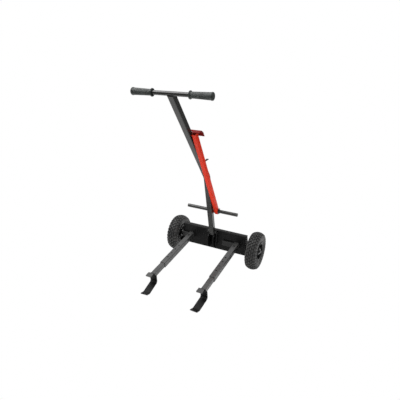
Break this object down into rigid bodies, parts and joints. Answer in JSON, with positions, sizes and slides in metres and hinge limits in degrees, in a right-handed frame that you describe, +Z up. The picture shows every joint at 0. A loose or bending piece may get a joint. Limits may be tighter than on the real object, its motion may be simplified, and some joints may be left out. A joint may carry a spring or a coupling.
{
  "type": "two-wheeled lift dolly",
  "caption": "Two-wheeled T-handle lift dolly with sliding forks ending in strap cradles, a bent mast and a swinging prop leg that holds the load up.",
  "frame": {"origin": "on the floor, at the middle of the length and width of the whole dolly at rest; the wheel axis is at y 0.2215, z 0.108", "axes": "+X along the axle towards the prop leg's side, -Y along the forks towards their cradles, +Z up"},
  "size_m": [0.5624, 0.659, 0.9871],
  "materials": {
    "beam_paint": "semi-gloss black powder coat",
    "mast_paint": "semi-gloss black powder coat",
    "fork_paint": "semi-gloss black powder coat",
    "strap_paint": "semi-gloss black powder coat",
    "black_oxide": "black oxide on steel",
    "leg_paint": "gloss orange-red paint",
    "foot_paint": "dark red paint",
    "hook_paint": "black paint",
    "grip_rubber": "moulded matt rubber",
    "tyre_rubber": "moulded tyre rubber",
    "tube_rubber": "smooth butyl rubber",
    "rim_paint": "black paint on pressed steel",
    "bearing_steel": "ground steel",
    "zinc": "bright zinc plate",
    "cap_plastic": "moulded black plastic"
  },
  "bodies": {
    "chassis": {"beam": "beam_paint", "left_axle_bracket": "beam_paint", "right_axle_bracket": "beam_paint", "axle": "zinc", "axle_spacers": "zinc", "axle_washers": "zinc", "axle_cotter_pins": "zinc", "left_mast_cheek": "beam_paint", "right_mast_cheek": "beam_paint", "mast": "mast_paint", "mast_bolt": "black_oxide", "mast_nut": "black_oxide", "handlebar": "mast_paint", "left_grip": "grip_rubber", "right_grip": "grip_rubber", "crossbar": "mast_paint", "crossbar_caps": "cap_plastic", "left_arm_tube": "fork_paint", "right_arm_tube": "fork_paint", "left_arm_ledge": "fork_paint", "right_arm_ledge": "fork_paint", "leg_washers": "zinc", "leg_cotter_pin": "zinc"},
    "left_wheel": {"left_tyre": "tyre_rubber", "left_inner_tube": "tube_rubber", "left_rim_inner_half": "rim_paint", "left_rim_outer_half": "rim_paint", "left_hub": "rim_paint", "left_bearings": "bearing_steel", "left_rim_bolts": "zinc", "left_rim_nuts": "zinc", "left_valve_stem": "tube_rubber"},
    "right_wheel": {"right_tyre": "tyre_rubber", "right_inner_tube": "tube_rubber", "right_rim_inner_half": "rim_paint", "right_rim_outer_half": "rim_paint", "right_hub": "rim_paint", "right_bearings": "bearing_steel", "right_rim_bolts": "zinc", "right_rim_nuts": "zinc", "right_valve_stem": "tube_rubber"},
    "left_fork": {"left_fork_tube": "fork_paint", "left_stop_tab": "fork_paint", "left_cradle_strap": "strap_paint", "left_snap_button": "zinc", "left_button_spring": "bearing_steel"},
    "right_fork": {"right_fork_tube": "fork_paint", "right_stop_tab": "fork_paint", "right_cradle_strap": "strap_paint", "right_snap_button": "zinc", "right_button_spring": "bearing_steel"},
    "prop_leg": {"leg_sleeve": "leg_paint", "prop_leg": "leg_paint", "prop_foot": "foot_paint", "leg_hook": "hook_paint", "hook_rivets": "zinc"}
  },
  "joints": [
    {"name": "left_wheel_spin", "type": "hinge", "parent": "chassis", "child": "left_wheel", "pos_m": [-0.249, 0.2215, 0.108], "axis": [1, 0, 0], "continuous": true},
    {"name": "right_wheel_spin", "type": "hinge", "parent": "chassis", "child": "right_wheel", "pos_m": [0.249, 0.2215, 0.108], "axis": [1, 0, 0], "continuous": true},
    {"name": "left_fork_slide", "type": "slide", "parent": "chassis", "child": "left_fork", "axis": [0, -0.9869, -0.1613], "range_m": [-0.08, 0.12]},
    {"name": "right_fork_slide", "type": "slide", "parent": "chassis", "child": "right_fork", "axis": [0, -0.9869, -0.1613], "range_m": [-0.08, 0.12]},
    {"name": "prop_leg_swing", "type": "hinge", "parent": "chassis", "child": "prop_leg", "pos_m": [0.0275, 0.15136, 0.3273], "axis": [1, 0, 0], "range_deg": [-150, 0]}
  ]
}
